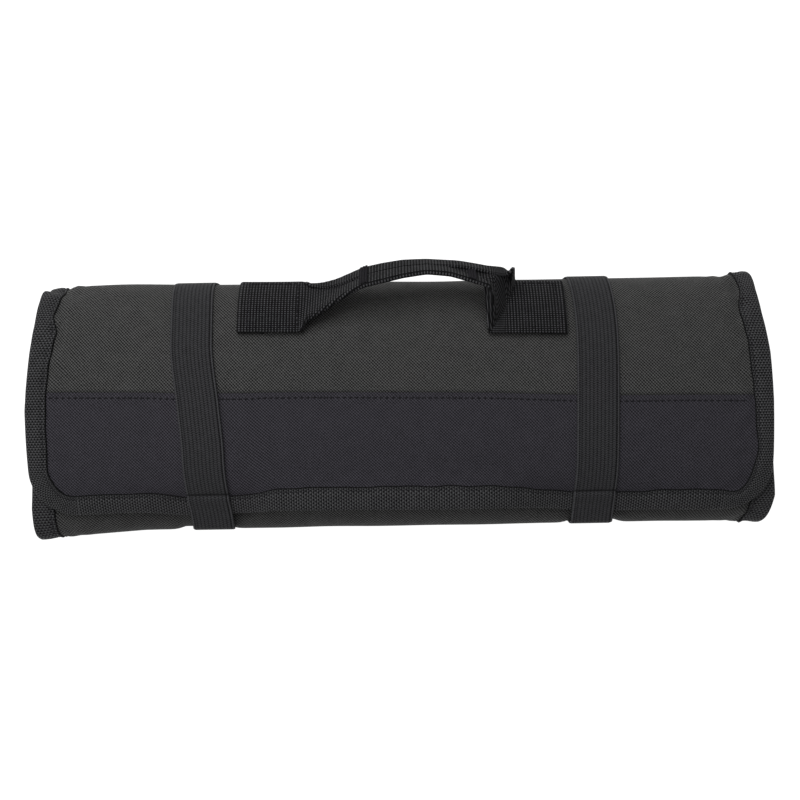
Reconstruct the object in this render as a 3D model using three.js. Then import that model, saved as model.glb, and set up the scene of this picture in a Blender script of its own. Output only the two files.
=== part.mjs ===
import * as THREE from 'three';

// A knife roll, rolled up, strapped and lying on its broad back. Millimetres, Z up.
// X runs along the roll and Y points from the hem of its flap to its carrying handle.
// The sheet is worked out as it was cut: "along" is X and "run" is the way from the hem.

// Driving sizes of the rolled sheet
const rollLength = 490;
const rollHeight = 176.4;
const rollThickness = 78.3;
const coreThickness = 28;
const turns = 2.2;
const sheetThickness = 3;
const cornerRadius = 27;
const endBulgeLeft = 7.5;
const endBulgeRight = 3.5;
const endBulgeReach = 70;

// Driving sizes of the flap's panel, measured from the hem at its two ends
const panelRunLeft = 84;
const panelRunRight = 74.5;
const hemFlare = 3.5;
const hemFlareRun = 30;

// Driving sizes of the edge tape, the elastic straps and the webbing handle
const tapeWidth = 15;
const tapeWall = 0.9;
const strapWidth = 28;
const strapThickness = 1.4;
const strapLeftPlace = -132.5;
const strapRightPlace = 130.5;
const strapSqueeze = 5;
const strapTug = 4;
const strapPressMargin = 8;
const webbingWidth = 38;
const webbingThickness = 2;
const handleLength = 217;
const handlePlace = 3;
const handleRunLeft = 139.5;
const handleRunRight = 135;
const tabLeft = 40;
const tabRight = 46;
const tabTurnUnder = 16;
const gripRise = 25;
const gripLeanAngle = 60;

// Clearances between pieces that touch
const fitGap = 0.3;
const tapeGap = 0.65;
const layerAir = 0.3;

const colours = {
  shell: { color: 0x3c3c3c, roughness: 0.9 },
  panel: { color: 0x302f33, roughness: 0.88 },
  tape: { color: 0x2b2b2d, roughness: 0.85 },
  elastic: { color: 0x2e2e30, roughness: 0.8 },
  webbing: { color: 0x2a2a2c, roughness: 0.8 },
};

// The oval that the sheet is rolled to: squareness of its front and back, and where the hem ends.
const ovalFront = 2.3;
const ovalBack = 4;
const backSag = 1.5;
const hemAngle = THREE.MathUtils.degToRad(140);

const halfHeight = (rollHeight - sheetThickness) / 2;
const halfThickness = (rollThickness - sheetThickness) / 2;
const restHeight = strapThickness + fitGap + sheetThickness / 2;
const tapeProud = tapeGap + tapeWall;
const tapeReach = sheetThickness / 2 + tapeProud;
const layerPitch = sheetThickness + 2 * tapeProud + layerAir;

// Every turn lies further in: one pitch after the first, and down to the open core after the last.
const coreDepth = halfThickness - (coreThickness + sheetThickness) / 2;
const tuckGrowth = (coreDepth / turns - layerPitch) / (turns - 1);
const tuckStart = layerPitch - tuckGrowth;
const layerDepth = (turn) => tuckStart * turn + tuckGrowth * turn * turn;
const backTurn = (hemAngle + Math.PI / 2) / (2 * Math.PI);

// Middle of the sheet after so many turns, at a depth inside the outermost oval.
function ovalPoint(turn, depth) {
  const angle = hemAngle - 2 * Math.PI * turn;
  const cosine = Math.cos(angle);
  const sine = Math.sin(angle);
  const front = sine >= 0;
  const power = 2 / (front ? ovalFront : ovalBack);
  const sag = front ? 0 : layerDepth(backTurn) + backSag;
  const floorDepth = layerDepth(backTurn + Math.floor(Math.max(turn, 0))) - layerDepth(backTurn);
  const y = (halfHeight - depth) * Math.sign(cosine) * Math.abs(cosine) ** power;
  const z = (halfThickness - depth + sag) * Math.sign(sine) * Math.abs(sine) ** power;
  return { y, z: restHeight + halfThickness + Math.max(z, floorDepth - halfThickness) };
}

// A path through the section of the roll, sampled with its length and its outward direction.
function samplePath(point, startTurn, endTurn) {
  const count = 4000;
  const samples = [];
  for (let i = 0; i <= count; i += 1) {
    const turn = THREE.MathUtils.lerp(startTurn, endTurn, i / count);
    samples.push({ turn, ...point(turn) });
  }
  let run = 0;
  samples.forEach((sample, i) => {
    const before = samples[Math.max(i - 1, 0)];
    const after = samples[Math.min(i + 1, count)];
    const length = Math.hypot(after.y - before.y, after.z - before.z);
    sample.outY = (before.z - after.z) / length;
    sample.outZ = (after.y - before.y) / length;
    run += i ? Math.hypot(sample.y - before.y, sample.z - before.z) : 0;
    sample.run = run;
  });
  const hem = samples.find(({ turn }) => turn >= 0).run;
  samples.forEach((sample) => {
    sample.run -= hem;
  });
  return samples;
}

// The sample at a given run, read between its two neighbours.
function readPath(samples, run) {
  let low = 0;
  let high = samples.length - 1;
  while (high - low > 1) {
    const middle = (low + high) >> 1;
    if (samples[middle].run > run) high = middle;
    else low = middle;
  }
  const share = (run - samples[low].run) / (samples[high].run - samples[low].run);
  const mix = (key) => THREE.MathUtils.lerp(samples[low][key], samples[high][key], share);
  return { turn: mix('turn'), y: mix('y'), z: mix('z'), outY: mix('outY'), outZ: mix('outZ') };
}

// Runs to cut a path at, closer together where it bends.
function pathStations(samples, fromRun, toRun, longestStep, widestBend) {
  const part = samples.filter((sample) => sample.run > fromRun && sample.run < toRun);
  const weights = part.map((sample, i) => {
    const before = part[Math.max(i - 1, 0)];
    const bend = Math.hypot(sample.outY - before.outY, sample.outZ - before.outZ);
    return (sample.run - before.run) / longestStep + bend / THREE.MathUtils.degToRad(widestBend);
  });
  const total = weights.reduce((sum, weight) => sum + weight, 0);
  const count = Math.max(2, Math.ceil(total));
  const runs = [fromRun];
  let passed = 0;
  part.forEach((sample, i) => {
    passed += weights[i];
    if (runs.length < count && passed >= (runs.length * total) / count) runs.push(sample.run);
  });
  runs.push(toRun);
  return runs;
}

const tuckedTurn = 0.04;
const sheetPath = samplePath((turn) => ovalPoint(turn, layerDepth(turn)), -tuckedTurn, turns);
const sheetRun = sheetPath[sheetPath.length - 1].run;

const bell = (value) => Math.exp(-value * value);
const smooth = (value, start, end) => THREE.MathUtils.smoothstep(value, start, end);

// Each strap leans a little: shares of its width that it lies from its place, on its way round.
const strapCourse = {
  left: [
    { turn: -0.2, offset: -0.04 },
    { turn: -0.03, offset: 0.21 },
    { turn: 0.09, offset: 0.11 },
    { turn: 0.22, offset: -0.14 },
    { turn: 0.36, offset: -0.21 },
    { turn: 0.58, offset: -0.14 },
  ],
  right: [
    { turn: -0.2, offset: 0.04 },
    { turn: -0.03, offset: -0.05 },
    { turn: 0.09, offset: 0 },
    { turn: 0.22, offset: 0.05 },
    { turn: 0.36, offset: 0 },
    { turn: 0.58, offset: 0.02 },
  ],
};
const straps = [
  { name: 'strap_left', place: strapLeftPlace, course: strapCourse.left },
  { name: 'strap_right', place: strapRightPlace, course: strapCourse.right },
];

// Where a strap crosses the roll's length, at a turn counted from the hem.
function strapAlong(strap, turn) {
  const course = strap.course;
  const whole = course[0].turn + THREE.MathUtils.euclideanModulo(turn - course[0].turn, 1);
  const last = course.length - 1;
  const next = course.findIndex((row) => row.turn > whole);
  const from = next < 0 ? course[last] : course[next - 1];
  const to = next < 0 ? { turn: course[0].turn + 1, offset: course[0].offset } : course[next];
  const share = THREE.MathUtils.lerp(from.offset, to.offset, smooth(whole, from.turn, to.turn));
  return strap.place + share * strapWidth;
}

// The straps draw the lower front shoulder of every layer in, and the hem lifts between them.
const squeezeSpread = 34;
const squeezeTurn = 0.05;
const pressHalf = strapWidth / 2 + strapPressMargin;
function strapPull(along) {
  const pulls = straps.map(({ place }) => bell(Math.max(0, Math.abs(along - place) - pressHalf) / squeezeSpread));
  return Math.max(...pulls);
}
function squeeze(along, turn) {
  const phase = turn - Math.round(turn);
  return -strapSqueeze * strapPull(along) * bell(phase / squeezeTurn);
}
function flare(along, run) {
  const share = Math.max(0, 1 - run / hemFlareRun);
  return hemFlare * (1 - strapPull(along)) * share * share;
}

// Beyond the straps, at both ends of the roll, the layers under the flap stand out below its hem.
const bulgeTurn = 0.06;
const bulgeStart = rollLength / 2 - endBulgeReach;
function bulge(along, turn) {
  const phase = turn - Math.round(turn) + bulgeTurn;
  const share = turn < 0.5 ? 0 : Math.max(0, Math.abs(along) - bulgeStart) / endBulgeReach;
  return (along < 0 ? endBulgeLeft : endBulgeRight) * share * bell(phase / bulgeTurn);
}

// The two edges of the sheet wander along the roll as it goes round, by shares of the tape's width.
const edgeCourse = [
  { turn: 0, left: 0, right: 0 },
  { turn: 0.12, left: 0, right: 0 },
  { turn: 0.3, left: 0.23, right: -0.13 },
  { turn: 0.45, left: 0.2, right: -0.07 },
  { turn: 0.75, left: -0.2, right: 0.27 },
  { turn: 0.95, left: -0.33, right: 0.4 },
  { turn: 1.15, left: 0.07, right: 0.13 },
  { turn: 1.6, left: 0.13, right: 0.2 },
  { turn: 3, left: 0.27, right: 0.33 },
];
const edgeShape = new THREE.LinearInterpolant(
  edgeCourse.map((row) => row.turn),
  edgeCourse.flatMap((row) => [row.left, row.right]),
  2,
);
function wander(along, turn) {
  const [left, right] = edgeShape.evaluate(turn);
  return tapeWidth * THREE.MathUtils.mapLinear(along, -rollLength / 2, rollLength / 2, left, right);
}

// A point of the rolled sheet: along the roll, by its run from the hem, and off its middle.
// Under the straps the hem is tugged further down, and the tug fades out up the front.
const tugFade = 90;
function onSheet(along, run, lift) {
  const tugged = run - strapTug * strapPull(along) * Math.max(0, 1 - run / tugFade);
  const sample = readPath(sheetPath, tugged);
  const off = lift + squeeze(along, sample.turn) + flare(along, run) + bulge(along, sample.turn);
  const x = along + wander(along, sample.turn);
  return new THREE.Vector3(x, sample.y + sample.outY * off, sample.z + sample.outZ * off);
}

// Half of the sheet's length across, at a run from the hem, with the flap's corners rounded.
function halfAcross(run, inset) {
  const radius = cornerRadius - inset;
  const intoCorner = THREE.MathUtils.clamp(cornerRadius - run, 0, radius);
  return rollLength / 2 - cornerRadius + Math.sqrt(radius * radius - intoCorner * intoCorner);
}

// A closed body from its points and faces, turned so that its faces point out.
function closedBody(points, faces) {
  const normal = new THREE.Vector3();
  const volume = faces.reduce((sum, [a, b, c]) => {
    return sum + points[a].dot(normal.crossVectors(points[b], points[c]));
  }, 0);
  const turned = volume < 0 ? faces.map(([a, b, c]) => [a, c, b]) : faces;
  const geometry = new THREE.BufferGeometry();
  geometry.setAttribute('position', new THREE.Float32BufferAttribute(points.flatMap((p) => p.toArray()), 3));
  geometry.setIndex(turned.flat());
  geometry.computeVertexNormals();
  return geometry;
}

// A slab about a grid of middle points, rows along and columns across, open or closed along.
function slab(grid, thickness, closed) {
  const rows = grid.length;
  const columns = grid[0].length;
  const lastRow = rows - 1;
  const edge = columns - 1;
  const points = [];
  const alongStep = new THREE.Vector3();
  const acrossStep = new THREE.Vector3();
  grid.forEach((row, i) => {
    const before = grid[closed ? (i + lastRow) % rows : Math.max(i - 1, 0)];
    const after = grid[closed ? (i + 1) % rows : Math.min(i + 1, lastRow)];
    row.forEach((point, j) => {
      alongStep.subVectors(after[j], before[j]);
      acrossStep.subVectors(row[Math.min(j + 1, edge)], row[Math.max(j - 1, 0)]);
      const half = alongStep.clone().cross(acrossStep).setLength(thickness / 2);
      points.push(point.clone().add(half), point.clone().sub(half));
    });
  });
  const index = (i, j, side) => 2 * ((i % rows) * columns + j) + side;
  const faces = [];
  const quad = (a, b, c, d) => faces.push([a, b, c], [a, c, d]);
  for (let i = 0; i < (closed ? rows : lastRow); i += 1) {
    for (let j = 0; j < edge; j += 1) {
      quad(index(i, j, 0), index(i + 1, j, 0), index(i + 1, j + 1, 0), index(i, j + 1, 0));
      quad(index(i, j, 1), index(i, j + 1, 1), index(i + 1, j + 1, 1), index(i + 1, j, 1));
    }
    quad(index(i, 0, 0), index(i, 0, 1), index(i + 1, 0, 1), index(i + 1, 0, 0));
    quad(index(i, edge, 1), index(i, edge, 0), index(i + 1, edge, 0), index(i + 1, edge, 1));
  }
  for (let j = 0; !closed && j < edge; j += 1) {
    quad(index(0, j, 1), index(0, j, 0), index(0, j + 1, 0), index(0, j + 1, 1));
    quad(index(lastRow, j, 0), index(lastRow, j, 1), index(lastRow, j + 1, 1), index(lastRow, j + 1, 0));
  }
  return closedBody(points, faces);
}

// A closed ring of closed sections, each with as many points as the next.
function ring(sections) {
  const size = sections[0].length;
  const faces = [];
  sections.forEach((section, i) => {
    const next = (i + 1) % sections.length;
    for (let j = 0; j < size; j += 1) {
      const across = (j + 1) % size;
      faces.push([i * size + j, next * size + j, next * size + across]);
      faces.push([i * size + j, next * size + across, i * size + across]);
    }
  });
  return closedBody(sections.flat(), faces);
}

const model = new THREE.Group();
function add(name, geometry, finish) {
  const material = new THREE.MeshStandardMaterial({ metalness: 0, ...finish });
  const mesh = new THREE.Mesh(geometry, material);
  mesh.name = name;
  model.add(mesh);
}

// Where the panel ends and the shell begins, at a place along the roll.
function seamRun(along) {
  return THREE.MathUtils.mapLinear(along, -rollLength / 2, rollLength / 2, panelRunLeft, panelRunRight);
}

// Places along the straight of the hem, one at each side of what a strap presses among them.
const straightHalf = rollLength / 2 - cornerRadius;
const longestAcross = 24;
const pressed = straps.flatMap(({ place }) => [place - pressHalf, place + pressHalf]);
const breaks = [-straightHalf, -bulgeStart, ...pressed, bulgeStart, straightHalf].sort((a, b) => a - b);
const hemPlaces = breaks.slice(1).flatMap((end, i) => {
  const start = breaks[i];
  const steps = Math.ceil((end - start) / longestAcross);
  return Array.from({ length: steps }, (_, step) => THREE.MathUtils.lerp(start, end, (step + 1) / steps));
}).slice(0, -1);

// Runs that the sheet and its tape are both cut at: clear of the slanting seam and of the tape
// at the inner end, and at both sides of the flat back.
const seamClear = 12;
const tapeClearShare = 1.2;
const longestRun = 70;
const widestBend = 24;
const seamLow = Math.min(panelRunLeft, panelRunRight) - seamClear;
const seamHigh = Math.max(panelRunLeft, panelRunRight) + seamClear;
const frontRuns = pathStations(sheetPath, cornerRadius, seamLow, longestRun, widestBend);
const innerCornerRun = sheetRun - tapeClearShare * tapeWidth;
const flatBack = sheetPath.filter(({ z }) => z < restHeight + 1e-6).slice(2, -2);
const backBreaks = [seamHigh, flatBack[0].run, flatBack.at(-1).run, innerCornerRun];
const backRuns = backBreaks.slice(1).flatMap((end, i) => {
  return pathStations(sheetPath, backBreaks[i], end, longestRun, widestBend).slice(i ? 1 : 0);
});

// The sheet stops just short of the fold of its tape.
const sheetInset = tapeWall + 2 * tapeGap;
function acrossSheet(rowRun, places) {
  const half = halfAcross(rowRun(0), sheetInset);
  return [-half, ...places, half].map((along) => onSheet(along, rowRun(along), 0));
}

// The panel of the flap, from inside the hem's tape to the seam.
const cornerAngles = [0, 25, 48, 70].map(THREE.MathUtils.degToRad);
const cornerRuns = cornerAngles.map((angle) => cornerRadius - (cornerRadius - sheetInset) * Math.cos(angle));
const panelRows = [...cornerRuns, ...frontRuns].map((run) => () => run);
panelRows.push((along) => seamRun(along) - fitGap / 2);
const panelGrid = panelRows.map((rowRun) => acrossSheet(rowRun, hemPlaces));
add('flap_panel', slab(panelGrid, sheetThickness, false), colours.panel);

// The shell, from the seam round to the inner end of the sheet.
const shellRows = [...backRuns, sheetRun - sheetInset].map((run) => () => run);
shellRows.unshift((along) => seamRun(along) + fitGap / 2);
const shellPlaces = [-straightHalf, ...hemPlaces, straightHalf];
const shellGrid = shellRows.map((rowRun) => acrossSheet(rowRun, shellPlaces));
add('roll_shell', slab(shellGrid, sheetThickness, false), colours.shell);

// The edge tape, a folded strip carried round the whole outline of the sheet.
const tapeHalf = [
  { inward: tapeWidth, lift: tapeReach - tapeWall },
  { inward: tapeWidth, lift: tapeReach },
  { inward: tapeWidth / 2, lift: tapeReach },
  { inward: tapeWall, lift: tapeReach },
  { inward: 0, lift: tapeReach - tapeWall },
];
const tapeInside = [
  { inward: tapeWall, lift: tapeReach - tapeWall },
  { inward: tapeWidth / 2, lift: tapeReach - tapeWall },
];
const mirrored = (half) => half.map(({ inward, lift }) => ({ inward, lift: -lift })).reverse();
const tapeSection = [...tapeHalf, ...mirrored(tapeHalf), ...mirrored(tapeInside), ...tapeInside];
const endSteps = 4;
function sideOutline(side) {
  const edge = (side * rollLength) / 2;
  const arc = cornerAngles.map((angle) => ({
    along: side * (straightHalf + cornerRadius * Math.sin(angle)),
    run: cornerRadius * (1 - Math.cos(angle)),
    inAlong: -side * Math.sin(angle),
    inRun: Math.cos(angle),
  }));
  const runs = [...frontRuns, seamRun(edge), ...backRuns];
  const straight = runs.map((run) => ({ along: edge, run, inAlong: -side, inRun: 0 }));
  const corner = { along: edge, run: sheetRun, inAlong: -side, inRun: -1 };
  return [...arc, ...straight, corner];
}
const hemOutline = hemPlaces.map((along) => ({ along, run: 0, inAlong: 0, inRun: 1 }));
const endOutline = Array.from({ length: endSteps - 1 }, (_, i) => {
  const along = THREE.MathUtils.lerp(rollLength / 2, -rollLength / 2, (i + 1) / endSteps);
  return { along, run: sheetRun, inAlong: 0, inRun: -1 };
});
const outline = [...hemOutline, ...sideOutline(1), ...endOutline, ...sideOutline(-1).reverse()];
const tapeSections = outline.map(({ along, run, inAlong, inRun }) => {
  return tapeSection.map(({ inward, lift }) => onSheet(along + inAlong * inward, run + inRun * inward, lift));
});
add('edge_binding', ring(tapeSections), colours.tape);

// Each elastic strap, a closed loop that climbs from the layer below on to the hem.
const climbStart = 0.89;
const climbEnd = 0.975;
const coverFullShare = 1.3;
const coverShare = 1.8;
const coverRun = coverShare * tapeWidth;
const strapPath = samplePath((turn) => {
  return ovalPoint(turn, layerDepth(turn) * (1 - smooth(turn, climbStart, climbEnd)));
}, 0, 1);
const strapRun = strapPath[strapPath.length - 1].run;
const middleRun = (seamLow + seamHigh) / 2;
const lastRun = strapRun - coverRun;
const tuggedRun = strapRun - strapTug;
const strapRuns = [
  ...cornerRuns,
  ...frontRuns,
  middleRun,
  ...backRuns.filter((run) => run < lastRun),
  lastRun,
  (lastRun + tuggedRun) / 2,
  tuggedRun - tapeProud,
];
const strapLift = sheetThickness / 2 + fitGap + strapThickness / 2;
for (const strap of straps) {
  const grid = strapRuns.map((run) => {
    const sample = readPath(strapPath, run);
    const pastHem = Math.min(run, strapRun - run);
    const overTape = tapeProud * (1 - smooth(pastHem, coverFullShare * tapeWidth, coverRun));
    const centre = strapAlong(strap, sample.turn);
    const lift = strapLift + overTape + squeeze(strap.place, sample.turn) + bulge(strap.place, sample.turn);
    return [-1, 0, 1].map((side) => {
      const x = centre + (side * strapWidth) / 2;
      return new THREE.Vector3(x, sample.y + sample.outY * lift, sample.z + sample.outZ * lift);
    });
  });
  add(strap.name, slab(grid, strapThickness, true), colours.elastic);
}

// The handle: webbing sewn down flat at its turned-under ends. Along the grip both of its
// edges are folded over the outer face to meet in the middle.
const tabLower = sheetThickness / 2 + fitGap + webbingThickness / 2;
const tabUpper = tabLower + webbingThickness + fitGap;
const handleStart = handlePlace - handleLength / 2;
const handleEnd = handlePlace + handleLength / 2;
const gripStart = handleStart + tabLeft;
const gripEnd = handleEnd - tabRight;

// Shares of the way along the grip, of its rise and its lean, and of the edges' full fold.
const gripCourse = [
  { way: 0, rise: 0, lean: 0, fold: 0 },
  { way: 0.06, rise: 0.03, lean: 0.3, fold: 0.32 },
  { way: 0.13, rise: 0.2, lean: 0.42, fold: 0.65 },
  { way: 0.2, rise: 0.38, lean: 0.6, fold: 0.85 },
  { way: 0.27, rise: 0.6, lean: 0.64, fold: 0.95 },
  { way: 0.34, rise: 0.81, lean: 0.6, fold: 1 },
  { way: 0.43, rise: 0.93, lean: 0.63, fold: 1 },
  { way: 0.53, rise: 1, lean: 0.75, fold: 1 },
  { way: 0.65, rise: 0.99, lean: 0.95, fold: 1 },
  { way: 0.76, rise: 0.95, lean: 0.92, fold: 1 },
  { way: 0.87, rise: 0.82, lean: 0.8, fold: 1 },
  { way: 0.95, rise: 0.8, lean: 0.55, fold: 0.95 },
  { way: 1, rise: 0.3, lean: 0.2, fold: 0 },
];
const gripShape = new THREE.LinearInterpolant(
  gripCourse.map((row) => row.way),
  gripCourse.flatMap((row) => [row.rise, row.lean, row.fold]),
  3,
);
const handleRun = (x) => THREE.MathUtils.mapLinear(x, handleStart, handleEnd, handleRunLeft, handleRunRight);

// The middle of the webbing at a share of the way along the grip, and how far it leans.
function gripMiddle(way) {
  const [rise, leanShare, fold] = gripShape.evaluate(way);
  const x = THREE.MathUtils.lerp(gripStart, gripEnd, way);
  const seat = readPath(sheetPath, handleRun(x));
  const seatLean = Math.atan2(seat.outY, seat.outZ);
  const lean = THREE.MathUtils.lerp(seatLean, THREE.MathUtils.degToRad(gripLeanAngle), leanShare);
  const off = tabUpper + gripRise * rise;
  const middle = new THREE.Vector3(x, seat.y + off * Math.sin(lean), seat.z + off * Math.cos(lean));
  return { middle, lean, fold };
}

// Three stretches from the middle of the webbing to its edge: flat, round the fold, and folded over.
const halfStretches = [0.45, 0.12, 0.43];
const webbingShares = [-1, -0.79, -0.57, -0.45, -0.22, 0, 0.22, 0.45, 0.57, 0.79, 1];
function gripRow(way) {
  const step = 0.01;
  const { middle, lean, fold } = gripMiddle(way);
  const ahead = gripMiddle(Math.min(way + step, 1)).middle;
  const tangent = ahead.sub(gripMiddle(Math.max(way - step, 0)).middle).normalize();
  const outward = new THREE.Vector3(0, Math.sin(lean), Math.cos(lean));
  outward.addScaledVector(tangent, -outward.dot(tangent)).normalize();
  const across = new THREE.Vector3(0, Math.cos(lean), -Math.sin(lean));
  return webbingShares.map((share) => {
    const point = middle.clone();
    let left = Math.abs(share);
    halfStretches.forEach((stretch, i) => {
      const length = (Math.min(stretch, left) * webbingWidth) / 2;
      const turned = (Math.PI / 2) * i * fold;
      left -= Math.min(stretch, left);
      point.addScaledVector(across, Math.sign(share) * length * Math.cos(turned));
      point.addScaledVector(outward, length * Math.sin(turned));
    });
    return point;
  });
}

// A row of the webbing where it lies on the sheet.
function tabRow(x, lift) {
  return webbingShares.map((share) => {
    const point = onSheet(x, handleRun(x) + (share * webbingWidth) / 2, lift);
    return point.setX(x);
  });
}
const tabBend = webbingThickness / 2 + fitGap;
function tabEnd(end, inward) {
  return [
    tabRow(end + inward * tabTurnUnder, tabLower),
    tabRow(end + inward * tabBend, tabLower),
    tabRow(end, (tabLower + tabUpper) / 2),
    tabRow(end + inward * tabBend, tabUpper),
    tabRow(end + inward * tabTurnUnder, tabUpper),
  ];
}
const gripSteps = 24;
const liftOffShare = 0.06;
const gripRows = Array.from({ length: gripSteps + 1 }, (_, i) => {
  const way = i / gripSteps;
  const sewn = tabRow(THREE.MathUtils.lerp(gripStart, gripEnd, way), tabUpper);
  const free = smooth(Math.min(way, 1 - way), 0, liftOffShare);
  return gripRow(way).map((point, j) => sewn[j].lerp(point, free));
});
const handleRows = [...tabEnd(handleStart, 1), ...gripRows, ...tabEnd(handleEnd, -1).reverse()];
add('handle', slab(handleRows, webbingThickness, false), colours.webbing);

// The origin is under the middle of the whole, on the surface that it lies on.
const box = new THREE.Box3().setFromObject(model);
const middle = box.getCenter(new THREE.Vector3());
model.position.set(-middle.x, -middle.y, -box.min.z);

export default model;
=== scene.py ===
import bpy
import numpy as np
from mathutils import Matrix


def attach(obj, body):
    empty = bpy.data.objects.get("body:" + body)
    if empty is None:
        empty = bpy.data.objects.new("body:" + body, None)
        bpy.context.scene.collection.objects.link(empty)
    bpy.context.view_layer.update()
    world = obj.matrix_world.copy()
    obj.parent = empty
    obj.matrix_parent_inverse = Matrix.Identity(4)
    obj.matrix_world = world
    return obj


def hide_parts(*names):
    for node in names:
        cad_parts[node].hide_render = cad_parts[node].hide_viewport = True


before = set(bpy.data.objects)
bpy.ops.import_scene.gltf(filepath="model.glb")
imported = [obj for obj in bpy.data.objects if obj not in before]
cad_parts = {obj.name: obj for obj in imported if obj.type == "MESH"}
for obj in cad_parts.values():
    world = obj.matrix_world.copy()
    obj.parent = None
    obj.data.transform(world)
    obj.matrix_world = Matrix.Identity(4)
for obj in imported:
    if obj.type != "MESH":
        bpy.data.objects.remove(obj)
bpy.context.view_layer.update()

# The camera looks straight down on the roll from the height of a copy stand, turned by one degree
# so that the roll leans in the picture as it lay when it was taken.
CAMERA_HEIGHT = 0.720
CAMERA_OVER = (0.00025, -0.0003)
CAMERA_ROLL = np.radians(-1.0)
SENSOR_WIDTH = 36.0
FOCAL_LENGTH = 43.875
camera_data = bpy.data.cameras.new("camera")
camera_data.sensor_width = SENSOR_WIDTH
camera_data.lens = FOCAL_LENGTH
camera_data.clip_start = 0.05
camera = bpy.data.objects.new("camera", camera_data)
camera.location = (*CAMERA_OVER, CAMERA_HEIGHT)
camera.rotation_euler = (0.0, 0.0, CAMERA_ROLL)
bpy.context.scene.collection.objects.link(camera)
bpy.context.scene.camera = camera
bpy.context.scene.view_settings.view_transform = "Standard"
bpy.context.scene.view_settings.look = "None"


# Studio: a white sweep that glows a little as it does on a light table, a wide soft box over the
# handle's side, a weaker one from the left, and even light from the room.
class Signal:
    """A value or colour in a material's nodes. Arithmetic on values adds Math nodes."""

    def __init__(self, tree, socket=None):
        self.tree = tree
        self.socket = socket

    def node(self, kind, settings=None, out=0, **inputs):
        """Adds a node: its settings first, then the values or links of its sockets by name."""
        made = self.tree.nodes.new(kind)
        for key, value in (settings or {}).items():
            setattr(made, key, value)
        for key, value in inputs.items():
            numbered = key[0] == "i" and key[1:].isdigit()
            socket = made.inputs[int(key[1:]) if numbered else key.replace("_", " ")]
            if isinstance(value, Signal):
                self.tree.links.new(value.socket, socket)
            else:
                socket.default_value = value
        return Signal(self.tree, made.outputs[out] if made.outputs else None)

    def math(self, operation, *values):
        """A Math node of one operation on this value and the others."""
        numbered = {f"i{i}": value for i, value in enumerate((self, *values))}
        return self.node("ShaderNodeMath", {"operation": operation}, **numbered)

    def __add__(self, other):
        return self.math("ADD", other)

    def __sub__(self, other):
        return self.math("SUBTRACT", other)

    def __rsub__(self, other):
        return (self * -1.0).math("ADD", other)

    def __mul__(self, other):
        return self.math("MULTIPLY", other)

    __radd__ = __add__
    __rmul__ = __mul__

    def wave(self, pitch):
        """The sine of this length, once round for every pitch."""
        return (self * (2.0 * np.pi / pitch)).math("SINE")

    def places(self):
        """The two lengths of this cloth place: along and across."""
        split = self.node("ShaderNodeSeparateXYZ", Vector=self)
        return split, Signal(self.tree, split.socket.node.outputs[1])

    def rise(self, start, end):
        """A smooth step from 0 at start to 1 at end."""
        ramp = {"interpolation_type": "SMOOTHSTEP"}
        return self.node("ShaderNodeMapRange", ramp, Value=self, From_Min=start, From_Max=end)

    def tint(self, dark, light):
        """The colour from dark to light as this value goes from 0 to 1."""
        mixed = {"data_type": "RGBA", "clamp_factor": True}
        return self.node("ShaderNodeMix", mixed, out=2, i0=self, i6=(*dark, 1.0), i7=(*light, 1.0))


def new_material(name):
    """An empty node material with its output, as a Signal to add nodes with."""
    material = bpy.data.materials.new(name)
    material.use_nodes = True
    material.node_tree.nodes.clear()
    return material, Signal(material.node_tree)


def finish_material(material, shader):
    """Joins the last shader to the material's output."""
    shader.node("ShaderNodeOutputMaterial", Surface=shader)
    return material


SWEEP_REACH = 3.0
SWEEP_HEIGHT = -0.0006
sweep_corners = [(-1, -1), (1, -1), (1, 1), (-1, 1)]
sweep_points = [(SWEEP_REACH * x, SWEEP_REACH * y, SWEEP_HEIGHT) for x, y in sweep_corners]
sweep_mesh = bpy.data.meshes.new("sweep")
sweep_mesh.from_pydata(sweep_points, [], [(0, 1, 2, 3)])
sweep = bpy.data.objects.new("sweep", sweep_mesh)
bpy.context.scene.collection.objects.link(sweep)
paper, paper_nodes = new_material("sweep_paper")
paper_grain = paper_nodes.node("ShaderNodeTexNoise", Scale=900.0, Detail=2.0)
paper_shader = paper_nodes.node(
    "ShaderNodeBsdfPrincipled",
    Base_Color=paper_grain.tint((0.24, 0.24, 0.24), (0.26, 0.26, 0.26)),
    Roughness=0.9,
    Emission_Color=(1.0, 1.0, 1.0, 1.0),
    Emission_Strength=0.94,
)
sweep_mesh.materials.append(finish_material(paper, paper_shader))

room = bpy.data.worlds.new("room")
room.use_nodes = True
room_light = room.node_tree.nodes["Background"].inputs
room_light["Color"].default_value = (1.0, 1.0, 1.0, 1.0)
room_light["Strength"].default_value = 0.2
bpy.context.scene.world = room

SOFT_BOXES = {
    "key_box": {"at": (-0.35, 0.95, 1.35), "size": 1.1, "watts": 20.0},
    "left_box": {"at": (-1.3, -0.35, 1.05), "size": 0.9, "watts": 7.0},
    "top_box": {"at": (0.0, -0.1, 2.2), "size": 1.8, "watts": 9.0},
}
for box_name, box in SOFT_BOXES.items():
    lamp_data = bpy.data.lights.new(box_name, "AREA")
    lamp_data.size = box["size"]
    lamp_data.energy = box["watts"]
    lamp = bpy.data.objects.new(box_name, lamp_data)
    lamp.location = box["at"]
    towards = -np.array(box["at"])
    level = np.hypot(towards[0], towards[1])
    lamp.rotation_euler = (np.arctan2(level, -towards[2]), 0.0, np.arctan2(-towards[0], towards[1]))
    bpy.context.scene.collection.objects.link(lamp)


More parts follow.
